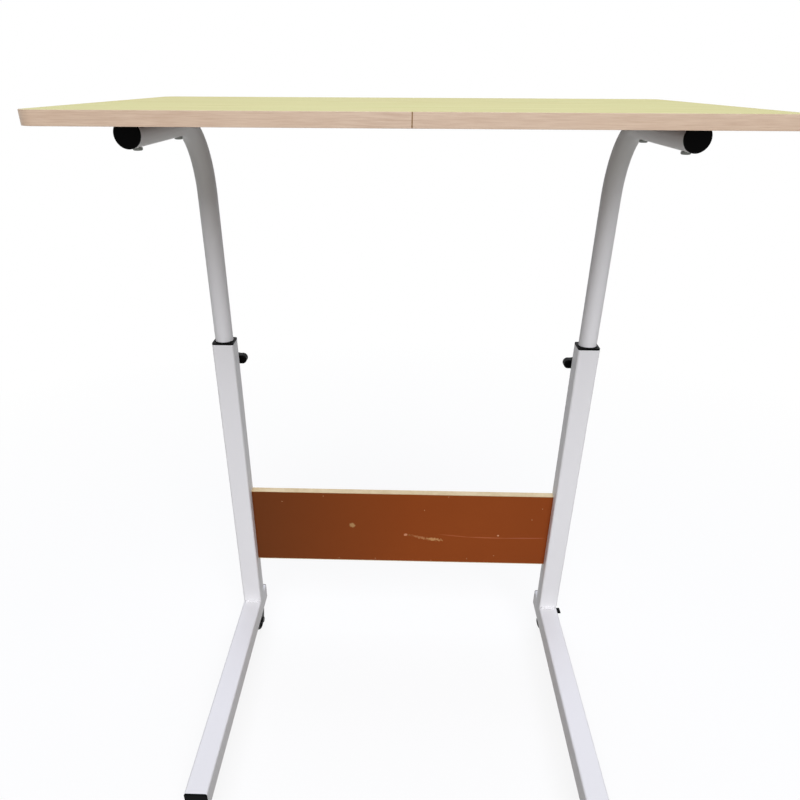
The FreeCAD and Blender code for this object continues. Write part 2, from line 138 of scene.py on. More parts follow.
WHITE = linear("#FFFFFF")
print("pure white is", WHITE)

# %% [markdown]
# ## Studio
# The photograph is cut out on white. Here a white floor and a white world stand round the desk: seen directly
# or in a reflection they are plain white, and as light they stay at a low, even level.
# The floor shows a shadow only near the desk, and as a source of bounced light it is darker than it looks.

# %% Floor
FLOOR_SIZE = 80.0
FLOOR_BOUNCE = linear("#94928A")
FLOOR_SHADOW = 0.14
SHADOW_FADE_START = 0.7
SHADOW_FADE_END = 1.8


def seen_directly(tree):
    """1 for rays from the camera or off a shiny surface, 0 for rays that gather light."""
    rays = add_node(tree, "LightPath").outputs
    seen = rays["Is Camera Ray"]
    for kind in ("Is Glossy Ray", "Is Transmission Ray"):
        seen = add_node(tree, "Math", {0: seen, 1: rays[kind]}, operation="MAXIMUM").outputs[0]
    return seen


floor_finish = bpy.data.materials.new("white_studio_floor")
floor_finish.use_nodes = True
tree = floor_finish.node_tree
tree.nodes.clear()
seen = seen_directly(tree)
place = add_node(tree, "TexCoord").outputs["Object"]
distance = add_node(tree, "VectorMath", {0: place}, operation="LENGTH")
shine = add_node(tree, "MapRange", {
    "Value": distance.outputs["Value"], "From Min": SHADOW_FADE_START, "From Max": SHADOW_FADE_END,
    "To Min": 1 - FLOOR_SHADOW, "To Max": 1.0})
glow_share = add_node(tree, "Math", {0: seen, 1: shine.outputs[0]}, operation="MULTIPLY")
floor_colour = add_node(tree, "Mix", {SHARE: seen, FIRST: FLOOR_BOUNCE, SECOND: WHITE}, data_type="RGBA")
matt = add_node(tree, "BsdfDiffuse", {"Color": floor_colour.outputs[MIXED]})
glow = add_node(tree, "Emission", {"Color": WHITE, "Strength": 1.0})
mixed = add_node(tree, "MixShader", {0: glow_share.outputs[0], 1: matt.outputs[0], 2: glow.outputs[0]})
add_node(tree, "OutputMaterial", {"Surface": mixed.outputs[0]})

floor_mesh = bpy.data.meshes.new("studio_floor")
bm = bmesh.new()
bmesh.ops.create_grid(bm, x_segments=1, y_segments=1, size=FLOOR_SIZE / 2)
bm.to_mesh(floor_mesh)
bm.free()
floor_mesh.materials.append(floor_finish)
floor = bpy.data.objects.new("studio_floor", floor_mesh)
bpy.context.scene.collection.objects.link(floor)
print("floor of %.0f m, with a shadow within %.1f m" % (FLOOR_SIZE, SHADOW_FADE_END))

# %% World
WORLD_LEVEL = 0.18

world = bpy.data.worlds.new("white_studio")
bpy.context.scene.world = world
world.use_nodes = True
tree = world.node_tree
tree.nodes.clear()
level = add_node(tree, "MapRange", {"Value": seen_directly(tree), "To Min": WORLD_LEVEL, "To Max": 1.0})
sky = add_node(tree, "Background", {"Color": WHITE, "Strength": level.outputs[0]})
add_node(tree, "OutputWorld", {"Surface": sky.outputs[0]})
print("world: looks white, lights at a level of", WORLD_LEVEL)

# %% [markdown]
# ## Lamps
# The photograph's light comes from a window behind the sitter: the feet are bright, and the tubes darken
# towards the top that shades them. One large soft lamp, high in front, does the same. A weak, lower one opens
# the fronts of the uprights, and a cool one on the ceiling behind the desk lights the top, the feet and the
# backs of the frames.

# %% Lamps
def soft_lamp(name, place, aim, size, watts, colour):
    """Square area lamp at a place, turned towards an aim point."""
    lamp_data = bpy.data.lights.new(name, "AREA")
    lamp_data.size = size
    lamp_data.energy = watts
    lamp_data.color = linear(colour)[:3]
    lamp = bpy.data.objects.new(name, lamp_data)
    facing = (Vector(aim) - Vector(place)).to_track_quat("-Z", "Y")
    lamp.matrix_world = Matrix.Translation(place) @ facing.to_matrix().to_4x4()
    bpy.context.scene.collection.objects.link(lamp)
    print(name, watts, "W")


soft_lamp("window_panel", place=(0.25, -2.7, 2.7), aim=(0, 0, 0.4), size=2.6, watts=115, colour="#F4F5FF")
soft_lamp("room_panel", place=(0.3, -2.9, 1.2), aim=(0, 0.2, 0.35), size=1.4, watts=8, colour="#FFFCF8")
soft_lamp("ceiling_panel", place=(0, 1.5, 3.0), aim=(0, 0.1, 0.3), size=2.6, watts=53, colour="#E6ECFF")

# %% [markdown]
# ## Printed maple
# Top and crossboard are faced with paper that is printed as maple. Stretched noise makes its streaks: a
# quarter of a metre long and a few millimetres wide. Slower noise, folded by a sine into a dozen rings, draws
# the flames of a plain-sawn plank, and wide clouds change the tone from place to place. The pores of the real
# print are finer than they are drawn here, but would not show at that width.

# %% Printed maple
STREAK_LONG = 250 * MM
STREAK_WIDE = 4 * MM
FLAME_LONG = 620 * MM
FLAME_WIDE = 60 * MM
FLAME_RINGS = 12
PORE_LONG = 18 * MM
PORE_WIDE = 0.8 * MM
CLOUD_SIZE = 160 * MM


def maple_print(tree, place, pale, dark, cloud):
    """Printed maple with its grain along X: outputs for its colour, streaks and pores."""
    along = add_node(tree, "Mapping", {
        "Vector": place, "Scale": (1 / STREAK_LONG, 1 / STREAK_WIDE, 1 / STREAK_WIDE)})
    streaks = add_node(tree, "TexNoise", {
        "Vector": along.outputs[0], "Scale": 1.0, "Detail": 5.0, "Roughness": 0.6})
    streak_share = add_node(tree, "MapRange", {
        "Value": streaks.outputs["Fac"], "From Min": 0.35, "From Max": 0.7})
    streaked = add_node(tree, "Mix", {
        SHARE: streak_share.outputs[0], FIRST: linear(pale), SECOND: linear(dark)}, data_type="RGBA")

    slow = add_node(tree, "Mapping", {
        "Vector": place, "Scale": (1 / FLAME_LONG, 1 / FLAME_WIDE, 1 / FLAME_WIDE)})
    hills = add_node(tree, "TexNoise", {
        "Vector": slow.outputs[0], "Scale": 1.0, "Detail": 1.5, "Roughness": 0.35})
    turns = add_node(tree, "Math", {
        0: hills.outputs["Fac"], 1: 2 * math.pi * FLAME_RINGS}, operation="MULTIPLY")
    rings = add_node(tree, "Math", {0: turns.outputs[0]}, operation="SINE")
    flame_share = add_node(tree, "MapRange", {
        "Value": rings.outputs[0], "To Max": 0.6}, interpolation_type="SMOOTHSTEP")
    flamed = add_node(tree, "Mix", {
        SHARE: flame_share.outputs[0], FIRST: streaked.outputs[MIXED], SECOND: linear(dark)},
        data_type="RGBA")

    clouds = add_node(tree, "TexNoise", {"Vector": place, "Scale": 1 / CLOUD_SIZE, "Detail": 2.0})
    cloud_share = add_node(tree, "MapRange", {
        "Value": clouds.outputs["Fac"], "From Min": 0.35, "From Max": 0.65, "To Max": 0.45})
    clouded = add_node(tree, "Mix", {
        SHARE: cloud_share.outputs[0], FIRST: flamed.outputs[MIXED], SECOND: linear(cloud)}, data_type="RGBA")

    fine = add_node(tree, "Mapping", {
        "Vector": place, "Scale": (1 / PORE_LONG, 1 / PORE_WIDE, 1 / PORE_WIDE)})
    pores = add_node(tree, "TexNoise", {"Vector": fine.outputs[0], "Scale": 1.0, "Detail": 2.0})
    pore_share = add_node(tree, "MapRange", {
        "Value": pores.outputs["Fac"], "From Min": 0.62, "From Max": 0.8, "To Max": 0.35})
    porous = add_node(tree, "Mix", {
        SHARE: pore_share.outputs[0], FIRST: clouded.outputs[MIXED], SECOND: linear(dark)}, data_type="RGBA")
    return porous.outputs[MIXED], streaks.outputs["Fac"], pores.outputs["Fac"]


print("streaks of %.0f x %.0f mm" % (STREAK_LONG / MM, STREAK_WIDE / MM))

# %% [markdown]
# ## Maple melamine
# The top is particle board, and its printed paper is pressed in melamine resin. That gives a surface of low
# sheen with a little relief in the pores. The paper below is brown, painted darker than the crossboard's
# backing as painted shade, and the sides are raw, dark chips, which the band covers everywhere but in its
# seam. Height tells the two papers apart, and the normal finds the sides.

# %% Maple melamine
TOP_TONES = ("#DAD49C", "#C5BD82", "#CFCD92")
# The backing's tone is painted shade: the crossboard's brown, darkened like that board's shaded left end.
TOP_BACKING_PAINTED_SHADE = "#5F3417"
CHIP_TONES = ("#8A6A48", "#A98A62")
TOP_UNDERSIDE_Z = 829 * MM
BACKING_THICK = 0.3 * MM
CHIP_SIZE = 2.5 * MM
MOSTLY = 0.5  # a face points mostly one way where that part of its normal is larger than this


def maple_melamine():
    """Maple paper above, brown paper below in a darkened tone of painted shade, and raw chips on the sides.
    """
    material, tree, surface = start_material("maple_melamine_pressed")
    place = add_node(tree, "TexCoord").outputs["Object"]
    maple, streaks, pores = maple_print(tree, place, *TOP_TONES)
    height = add_node(tree, "SeparateXYZ", {0: place}).outputs["Z"]
    above = add_node(tree, "Math", {0: height, 1: TOP_UNDERSIDE_Z + BACKING_THICK}, operation="GREATER_THAN")
    papers = add_node(tree, "Mix", {
        SHARE: above.outputs[0], FIRST: linear(TOP_BACKING_PAINTED_SHADE), SECOND: maple}, data_type="RGBA")
    chips = add_node(tree, "TexVoronoi", {"Vector": place, "Scale": 1 / CHIP_SIZE})
    raw = add_node(tree, "Mix", {
        SHARE: chips.outputs["Distance"], FIRST: linear(CHIP_TONES[0]), SECOND: linear(CHIP_TONES[1])},
        data_type="RGBA")
    normal = add_node(tree, "NewGeometry").outputs["True Normal"]
    upward = add_node(tree, "SeparateXYZ", {0: normal}).outputs["Z"]
    level = add_node(tree, "Math", {0: upward}, operation="ABSOLUTE")
    faced = add_node(tree, "Math", {0: level.outputs[0], 1: MOSTLY}, operation="GREATER_THAN")
    colour = add_node(tree, "Mix", {
        SHARE: faced.outputs[0], FIRST: raw.outputs[MIXED], SECOND: papers.outputs[MIXED]}, data_type="RGBA")
    tree.links.new(colour.outputs[MIXED], surface.inputs["Base Color"])
    rough = add_node(tree, "MapRange", {"Value": streaks, "To Min": 0.72, "To Max": 0.84})
    tree.links.new(rough.outputs[0], surface.inputs["Roughness"])
    relief = add_node(tree, "Bump", {"Height": pores, "Strength": 0.12, "Distance": 0.1 * MM})
    tree.links.new(relief.outputs[0], surface.inputs["Normal"])
    surface.inputs["IOR"].default_value = 1.5
    surface.inputs["Specular IOR Level"].default_value = 0.12
    return material


finishes = {"maple_melamine": maple_melamine()}
print("made", finishes["maple_melamine"].name)

# %% [markdown]
# ## Edge band
# A strip of PVC, one millimetre thick, is printed with the same wood and glued round the board. Its print is
# pinker than the top's, in fine lines that run along the edge on every side. Noise that is long in both
# level directions and under a millimetre high draws those lines on the front, the ends and the round corners.
# The crossboard's strips have a creamier print, and so has its maple face.

# %% Edge band
BAND_TONES = ("#D0B89F", "#BB9F86", "#C8AE93")
CREAM_TONES = ("#E0CBA0", "#C8AE7C", "#D6C092")
LINE_LONG = 22 * MM
LINE_HIGH = 0.9 * MM


def printed_edge_band(name, pale, dark, cloud):
    """Strip of printed wood: fine lines between a pale and a dark tone, with clouds of a third."""
    material, tree, surface = start_material(name)
    place = add_node(tree, "TexCoord").outputs["Object"]
    along = add_node(tree, "Mapping", {
        "Vector": place, "Scale": (1 / LINE_LONG, 1 / LINE_LONG, 1 / LINE_HIGH)})
    lines = add_node(tree, "TexNoise", {
        "Vector": along.outputs[0], "Scale": 1.0, "Detail": 5.0, "Roughness": 0.62})
    line_share = add_node(tree, "MapRange", {
        "Value": lines.outputs["Fac"], "From Min": 0.36, "From Max": 0.68})
    lined = add_node(tree, "Mix", {
        SHARE: line_share.outputs[0], FIRST: linear(pale), SECOND: linear(dark)}, data_type="RGBA")
    clouds = add_node(tree, "TexNoise", {"Vector": place, "Scale": 1 / CLOUD_SIZE, "Detail": 3.0})
    cloud_share = add_node(tree, "MapRange", {
        "Value": clouds.outputs["Fac"], "From Min": 0.35, "From Max": 0.65, "To Max": 0.4})
    colour = add_node(tree, "Mix", {
        SHARE: cloud_share.outputs[0], FIRST: lined.outputs[MIXED], SECOND: linear(cloud)}, data_type="RGBA")
    tree.links.new(colour.outputs[MIXED], surface.inputs["Base Color"])
    relief = add_node(tree, "Bump", {"Height": lines.outputs["Fac"], "Strength": 0.15, "Distance": 0.1 * MM})
    tree.links.new(relief.outputs[0], surface.inputs["Normal"])
    surface.inputs["Roughness"].default_value = 0.42
    surface.inputs["IOR"].default_value = 1.53
    return material


finishes["maple_edge_band"] = printed_edge_band("pvc_edge_band_printed", *BAND_TONES)
cream_band = printed_edge_band("pvc_edge_band_cream", *CREAM_TONES)
print("made", finishes["maple_edge_band"].name, "and", cream_band.name)

# %% [markdown]
# ## Marks on the crossboard
# The crossboard's face has one chipped spot, a crumbly scuff and a long faint scratch. They could be cut into
# the mesh, but they are no deeper than the paper, so each is a small mask in the finish, in millimetres on
# the board: an ellipse by its distance from the middle, broken up by noise.

# %% Marks on the crossboard
BOARD_FRONT_Y = 179.5 * MM
CRUMB_SIZE = 2.6 * MM
MARK_CORE = 0.55  # the share of a mark's half length over which it keeps its full strength
# One mark a line: its middle across and up, half length and half height in mm, slope in degrees,
# raggedness and tone.
BOARD_MARKS = [
    ((-80.0, 230.8), 5.7, 4.9, -25.0, 0.8, "#B58A5A"),
    ((7.8, 214.0), 3.6, 2.9, 0.0, 0.9, "#D2906A"),
    ((14.0, 213.6), 2.2, 1.6, 0.0, 0.9, "#9A6A3A"),
    ((159.9, 215.8), 1.9, 1.7, 0.0, 0.5, "#E0A880"),
    ((32.7, 209.1), 13.0, 2.4, -13.8, 4.5, "#B5764A"),
    ((54.3, 206.1), 15.5, 3.0, -4.2, 3.5, "#C8925E"),
    ((89.8, 213.6), 31.0, 1.2, -5.1, 0.3, "#AA5A34"),
    ((142.6, 211.2), 38.0, 1.5, -0.8, 0.3, "#AE5E38"),
    ((202.9, 211.7), 42.0, 1.3, 1.4, 0.3, "#A85A3A"),
]


def board_mark(tree, place, middle_mm, half_length_mm, half_height_mm, slope_degrees, raggedness):
    """Mask of one mark on the crossboard's front face: 1 in its middle, 0 outside its ragged ellipse."""
    middle = (middle_mm[0] * MM, BOARD_FRONT_Y, middle_mm[1] * MM)
    centred = add_node(tree, "VectorMath", {0: place, 1: middle}, operation="SUBTRACT")
    turned = add_node(tree, "Mapping", {
        "Vector": centred.outputs[0], "Rotation": (0, math.radians(slope_degrees), 0)})
    to_unit_circle = (1 / (half_length_mm * MM), 0, 1 / (half_height_mm * MM))
    scaled = add_node(tree, "VectorMath", {0: turned.outputs[0], 1: to_unit_circle}, operation="MULTIPLY")
    crumbs = add_node(tree, "TexNoise", {"Vector": place, "Scale": 1 / CRUMB_SIZE, "Detail": 3.0})
    ellipse = add_node(tree, "VectorMath", {0: scaled.outputs[0]}, operation="LENGTH")
    ragged = add_node(tree, "Math", {
        0: crumbs.outputs["Fac"], 1: raggedness, 2: ellipse.outputs["Value"]}, operation="MULTIPLY_ADD")
    return add_node(tree, "MapRange", {
        "Value": ragged.outputs[0], "From Min": MARK_CORE + raggedness / 2, "From Max": 1.0 + raggedness / 2,
        "To Min": 1.0, "To Max": 0.0}).outputs[0]


print(len(BOARD_MARKS), "marks on the crossboard")

# %% [markdown]
# ## Brown melamine
# The crossboard turns its brown backing face to the sitter and its maple face to the back. The backing is
# plain red-brown melamine, a little cloudy, with pale specks of dust. Painted shade darkens it towards the
# left upright.

# %% Brown melamine
BROWN_TONES = ("#8E4317", "#94471A")
# Painted shade: towards the left upright the brown darkens to this tone.
PAINTED_SHADE_TONE = "#643414"
PAINTED_SHADE_FULL_X = -240 * MM
PAINTED_SHADE_END_X = 20 * MM
SPECK_TONE = "#D9A87E"
SPECK_SPACING = 75 * MM
SPECK_SIZE = 1.3 * MM
BOARD_MAPLE_DEPTH = 11.5 * MM


def brown_melamine():
    """Marked brown paper in front, with painted shade towards the left, and maple paper behind."""
    material, tree, surface = start_material("brown_melamine_backing")
    place = add_node(tree, "TexCoord").outputs["Object"]
    across, depth, _ = add_node(tree, "SeparateXYZ", {0: place}).outputs
    clouds = add_node(tree, "TexNoise", {"Vector": place, "Scale": 1 / CLOUD_SIZE, "Detail": 3.0})
    cloud_share = add_node(tree, "MapRange", {
        "Value": clouds.outputs["Fac"], "From Min": 0.3, "From Max": 0.7})
    cloudy = add_node(tree, "Mix", {
        SHARE: cloud_share.outputs[0], FIRST: linear(BROWN_TONES[0]), SECOND: linear(BROWN_TONES[1])},
        data_type="RGBA")
    # Painted shade, darkening the brown towards the left upright.
    painted_shade = add_node(tree, "MapRange", {
        "Value": across, "From Min": PAINTED_SHADE_FULL_X, "From Max": PAINTED_SHADE_END_X, "To Min": 0.85, "To Max": 0.0})
    brown = add_node(tree, "Mix", {
        SHARE: painted_shade.outputs[0], FIRST: cloudy.outputs[MIXED], SECOND: linear(PAINTED_SHADE_TONE)}, data_type="RGBA")
    flat = add_node(tree, "Mapping", {"Vector": place, "Rotation": (math.radians(90), 0, 0)})
    dust = add_node(tree, "TexVoronoi", {
        "Vector": flat.outputs[0], "Scale": 1 / SPECK_SPACING}, voronoi_dimensions="2D")
    specks = add_node(tree, "Math", {
        0: dust.outputs["Distance"], 1: SPECK_SIZE / 2 / SPECK_SPACING}, operation="LESS_THAN")
    layers = [(specks.outputs[0], SPECK_TONE)]
    layers += [(board_mark(tree, place, *shape), tone) for *shape, tone in BOARD_MARKS]
    colour = brown.outputs[MIXED]
    for mask, tone in layers:
        layer = add_node(tree, "Mix", {SHARE: mask, FIRST: colour, SECOND: linear(tone)}, data_type="RGBA")
        colour = layer.outputs[MIXED]
    behind = add_node(tree, "Math", {
        0: depth, 1: BOARD_FRONT_Y + BOARD_MAPLE_DEPTH}, operation="GREATER_THAN")
    maple, _, _ = maple_print(tree, place, *CREAM_TONES)
    faced = add_node(tree, "Mix", {SHARE: behind.outputs[0], FIRST: colour, SECOND: maple}, data_type="RGBA")
    tree.links.new(faced.outputs[MIXED], surface.inputs["Base Color"])
    rough = add_node(tree, "MapRange", {"Value": clouds.outputs["Fac"], "To Min": 0.42, "To Max": 0.58})
    tree.links.new(rough.outputs[0], surface.inputs["Roughness"])
    surface.inputs["Specular IOR Level"].default_value = 0.12
    return material


finishes["brown_melamine"] = brown_melamine()
print("made", finishes["brown_melamine"].name)

# %% [markdown]
# ## White powder coat
# The tubes are sprayed with polyester powder and baked. It melts to a half-gloss white with the faint dimples
# of orange peel, two to three millimetres apart.

# %% White powder coat
COAT_TONES = ("#F2F1F0", "#F6F5F4")
PEEL_SIZE = 2.6 * MM


def white_powder_coat():
    """Half-gloss white with orange peel."""
    material, tree, surface = start_material("polyester_powder_coat_white")
    place = add_node(tree, "TexCoord").outputs["Object"]
    clouds = add_node(tree, "TexNoise", {"Vector": place, "Scale": 1 / CLOUD_SIZE, "Detail": 2.0})
    colour = add_node(tree, "Mix", {
        SHARE: clouds.outputs["Fac"], FIRST: linear(COAT_TONES[0]), SECOND: linear(COAT_TONES[1])},
        data_type="RGBA")
    tree.links.new(colour.outputs[MIXED], surface.inputs["Base Color"])
    rough = add_node(tree, "MapRange", {"Value": clouds.outputs["Fac"], "To Min": 0.44, "To Max": 0.54})
    tree.links.new(rough.outputs[0], surface.inputs["Roughness"])
    peel = add_node(tree, "TexNoise", {"Vector": place, "Scale": 1 / PEEL_SIZE, "Detail": 1.0})
    relief = add_node(tree, "Bump", {"Height": peel.outputs["Fac"], "Strength": 0.12, "Distance": 0.15 * MM})
    tree.links.new(relief.outputs[0], surface.inputs["Normal"])
    surface.inputs["IOR"].default_value = 1.5
    surface.inputs["Specular IOR Level"].default_value = 0.15
    return material


finishes["white_powder_coat"] = white_powder_coat()
print("made", finishes["white_powder_coat"].name)

# %% [markdown]
# ## Black plastics and steels
# Caps, plugs, collars, bushes, knobs and pedals are moulded in black polypropylene with a spark-eroded,
# slightly grainy skin. The wheels are harder and smoother nylon. The crossboard's screws and the castors'
# forks and axles are steel with a black finish. The top's screws, the studs, stems, nuts and brake pins are
# zinc plated; their tones are much darker than bright plating, as painted shade for the top's screws that sit
# in shade under the top. One function makes all four from a fine grain. The real grain of the plastics is
# about a tenth of a millimetre, too fine to show, so it is drawn coarser.

# %% Black plastics and steels
PLASTIC_GRAIN = 0.7 * MM
PLATING_GRAIN = 3 * MM
GLOSS_SWING = 0.08
# For each slot: name, two tones, roughness, grain, depth of the relief, metallic and specular level.
GRAINED_FINISHES = {
    "black_plastic": (
        "polypropylene_moulded_black", "#020202", "#060606", 0.45, PLASTIC_GRAIN, 0.05 * MM, 0.0, 0.04),
    "black_wheel": ("nylon_moulded_black", "#030303", "#080808", 0.42, PLASTIC_GRAIN, 0.03 * MM, 0.0, 0.05),
    "black_steel": ("steel_black_finish", "#060606", "#0D0D0D", 0.40, PLATING_GRAIN, 0.02 * MM, 0.0, 0.12),
    # The zinc tones are darkened as painted shade.
    "zinc_steel": ("steel_zinc_plated_painted_shade", "#5C5E5A", "#747671", 0.40, PLATING_GRAIN, 0.02 * MM, 1.0, 0.5),
}


def grained_surface(name, first_tone, second_tone, roughness, grain_size, relief_depth, metallic, specular):
    """A surface whose colour, gloss and relief follow one fine grain."""
    material, tree, surface = start_material(name)
    place = add_node(tree, "TexCoord").outputs["Object"]
    noise = add_node(tree, "TexNoise", {"Vector": place, "Scale": 1 / grain_size, "Detail": 3.0})
    grain = noise.outputs["Fac"]
    colour = add_node(tree, "Mix", {
        SHARE: grain, FIRST: linear(first_tone), SECOND: linear(second_tone)}, data_type="RGBA")
    tree.links.new(colour.outputs[MIXED], surface.inputs["Base Color"])
    rough = add_node(tree, "MapRange", {
        "Value": grain, "To Min": roughness - GLOSS_SWING, "To Max": roughness + GLOSS_SWING})
    tree.links.new(rough.outputs[0], surface.inputs["Roughness"])
    relief = add_node(tree, "Bump", {"Height": grain, "Strength": 0.2, "Distance": relief_depth})
    tree.links.new(relief.outputs[0], surface.inputs["Normal"])
    surface.inputs["Metallic"].default_value = metallic
    surface.inputs["Specular IOR Level"].default_value = specular
    return material


for slot, look in GRAINED_FINISHES.items():
    finishes[slot] = grained_surface(*look)
    print("made", finishes[slot].name)

# %% [markdown]
# ## Dressing the frame
# The part's record names a material slot for each node, and each slot has its finish now.
# Only the crossboard's strips leave their slot's finish: they get the cream print.

# %% Dress the frame
node_slot = {subpart["node"]: subpart["material_slot"] for subpart in record["subparts"]}
node_finish = {node: finishes[slot] for node, slot in node_slot.items()}
node_finish["crossboard_edge_bands"] = cream_band
for name, finish in node_finish.items():
    node_mesh = frame["nodes"][name].data
    node_mesh.materials.clear()
    node_mesh.materials.append(finish)
print("dressed", len(node_finish), "nodes in", len(finishes) + 1, "finishes")

# %% [markdown]
# ## Pieces that stand for a node
# A CAD solid has mathematically sharp edges. Real mouldings, pressings and strips have a small radius there,
# which catches a thin line of light, so some nodes are modelled again. This helper turns a bmesh into a
# finished piece that stands for a CAD node, rides on the same body and takes the same finish. Its Weighted
# Normal modifier lets large faces stay flat in the light, where the small radii beside them would bend it.

# %% Pieces that stand for a node
MERGE_DISTANCE = 0.004 * MM
HARD_DEGREES = 40
STEEP_DEGREES = 60  # for pieces with small radii in few steps, which are to look round
node_body = {node: body for body, nodes in record["behaviour"]["bodies"].items() for node in nodes}


def piece_from(bm, name, node, sharp_degrees=HARD_DEGREES):
    """Make a piece of a bmesh; it stands for a node, rides on the node's body and takes its finish."""
    bmesh.ops.remove_doubles(bm, verts=bm.verts, dist=MERGE_DISTANCE)
    bmesh.ops.recalc_face_normals(bm, faces=bm.faces)
    mesh = bpy.data.meshes.new(name)
    bm.to_mesh(mesh)
    bm.free()
    mesh.shade_smooth()
    mesh.set_sharp_from_angle(angle=math.radians(sharp_degrees))
    mesh.materials.append(node_finish[node])
    piece = bpy.data.objects.new(name, mesh)
    bpy.context.scene.collection.objects.link(piece)
    flats = piece.modifiers.new("large faces stay flat", "WEIGHTED_NORMAL")
    flats.keep_sharp = True
    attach(piece, node_body[node])
    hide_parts(node)
    print(name, len(mesh.polygons), "faces")


print("bodies:", sorted(set(node_body.values())))

# %% [markdown]
# ## Shaping helpers
# Three short helpers round chosen edges, find the hard ones and add a block. The fourth copies a node's mesh,
# merges its loose triangles into flat faces and rounds every hard edge.

# %% Shaping helpers
FLAT_DEGREES = 0.5
SMALL_RADIUS_STEPS = 2


def round_edges(bm, edges, radius, steps):
    """Give edges a radius, in a number of steps."""
    bmesh.ops.bevel(
        bm, geom=edges, offset=radius, affect="EDGES", segments=steps, profile=0.5, material=-1)


def hard_edges(bm, degrees=HARD_DEGREES):
    """The edges at which two faces meet at more than an angle."""
    limit = math.radians(degrees)
    return [e for e in bm.edges if len(e.link_faces) == 2 and e.calc_face_angle() > limit]


def block(bm, low, high):
    """Add a box between two corners; returns its vertices."""
    low, high = Vector(low), Vector(high)
    verts = bmesh.ops.create_cube(bm, size=1.0)["verts"]
    bmesh.ops.scale(bm, vec=high - low, verts=verts)
    bmesh.ops.translate(bm, vec=(low + high) / 2, verts=verts)
    return verts


def softened_copy(node, radius):
    """A bmesh copy of a node: loose triangles merged into flat faces, hard edges rounded."""
    bm = bmesh.new()
    bm.from_mesh(frame["nodes"][node].data)
    bmesh.ops.remove_doubles(bm, verts=bm.verts, dist=MERGE_DISTANCE)
    bmesh.ops.dissolve_limit(bm, angle_limit=math.radians(FLAT_DEGREES), verts=bm.verts, edges=bm.edges)
    round_edges(bm, hard_edges(bm), radius, SMALL_RADIUS_STEPS)
    return bm


print("edges count as hard above", HARD_DEGREES, "degrees")

# %% [markdown]
# ## The edge band as a strip
# The band is ironed on as one strip, so it has a start and an end: they meet in the front edge, a little to
# the right of the middle, in a thin dark gap. The strip starts as a box with round corners that loses its lid
# and floor. Two cuts and a deleted face open the seam, Solidify gives the wall its millimetre, and the
# arrises are eased.

# %% Edge band strip
BAND_THICK = 1.0 * MM
BAND_ARRIS = 0.25 * MM
TOP_CORNER = 15 * MM
TOP_CORNER_STEPS = 16
SEAM_X = 1.3 * MM
SEAM_GAP = 0.8 * MM

low, high = (Vector(corner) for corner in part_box("tabletop_edge_band"))
bm = bmesh.new()
block(bm, low, high)
corner_lines = [e for e in bm.edges if abs(e.verts[0].co.z - e.verts[1].co.z) > BAND_THICK]
round_edges(bm, corner_lines, TOP_CORNER, TOP_CORNER_STEPS)
lid_and_floor = [f for f in bm.faces if abs(f.normal.z) > MOSTLY]
bmesh.ops.delete(bm, geom=lid_and_floor, context="FACES_ONLY")
for side in (-1, 1):
    bmesh.ops.bisect_plane(bm, geom=bm.verts[:] + bm.edges[:] + bm.faces[:],
                           plane_co=(SEAM_X + side * SEAM_GAP / 2, 0, 0), plane_no=(1, 0, 0))
front = [f for f in bm.faces if f.normal.y < -MOSTLY]
seam = [f for f in front if abs(f.calc_center_median().x - SEAM_X) < SEAM_GAP / 2]
bmesh.ops.delete(bm, geom=seam, context="FACES")
bmesh.ops.solidify(bm, geom=bm.faces[:], thickness=BAND_THICK)
round_edges(bm, hard_edges(bm, STEEP_DEGREES), BAND_ARRIS, SMALL_RADIUS_STEPS)
piece_from(bm, "edge_band_strip", "tabletop_edge_band", sharp_degrees=STEEP_DEGREES)

# %% [markdown]
# ## Weld runs
# Each upright stands on its foot in a fillet weld. The welder moves on in short steps, and each step leaves a
# crescent ripple that the white coat rounds off and makes bright. A flat strip whose outer edge swells once a
# ripple is spun a quarter turn round the inside corner; then its middle is pushed along, which bows the
# ripples.

# %% Weld runs
WELD_RIPPLES = 5
WELD_REACH = 3.5 * MM
WELD_NECK = 1.8 * MM
WELD_BOW = 1.6 * MM
WELD_FULLNESS = 0.7  # below 1, a ripple is fuller than a plain sine
STEPS_PER_RIPPLE = 8
QUARTER_TURN_STEPS = 8
SQUARE_CORNER = 3 * MM


def weld_run(bm, start, length, outward):
    """Rippled fillet along +X from a start on the inside corner, reaching out along Y."""
    # The grid is one unit wide and runs from -0.5 to 0.5.
    strip = bmesh.ops.create_grid(
        bm, x_segments=WELD_RIPPLES * STEPS_PER_RIPPLE, y_segments=1, size=0.5)["verts"]
    for vert in strip:
        along = vert.co.x + 0.5
        swell = abs(math.sin(math.pi * WELD_RIPPLES * along)) ** WELD_FULLNESS
        reach = WELD_NECK + (WELD_REACH - WELD_NECK) * swell
        vert.co = start + Vector((along * length, outward * reach * (vert.co.y + 0.5), 0))
    faces = list({f for vert in strip for f in vert.link_faces})
    edges = list({e for vert in strip for e in vert.link_edges})
    first_new = len(bm.verts)
    bmesh.ops.spin(bm, geom=strip + edges + faces, cent=start, axis=(1, 0, 0), angle=outward * math.pi / 2,
                   steps=QUARTER_TURN_STEPS)
    for vert in bm.verts[first_new:]:
        rise = vert.co.z - start.z
        out = abs(vert.co.y - start.y)
        turn = math.atan2(rise, out) if rise + out > 0 else 0
        ends = math.sin(math.pi * min(max((vert.co.x - start.x) / length, 0), 1))
        vert.co.x += WELD_BOW * math.sin(2 * turn) * ends


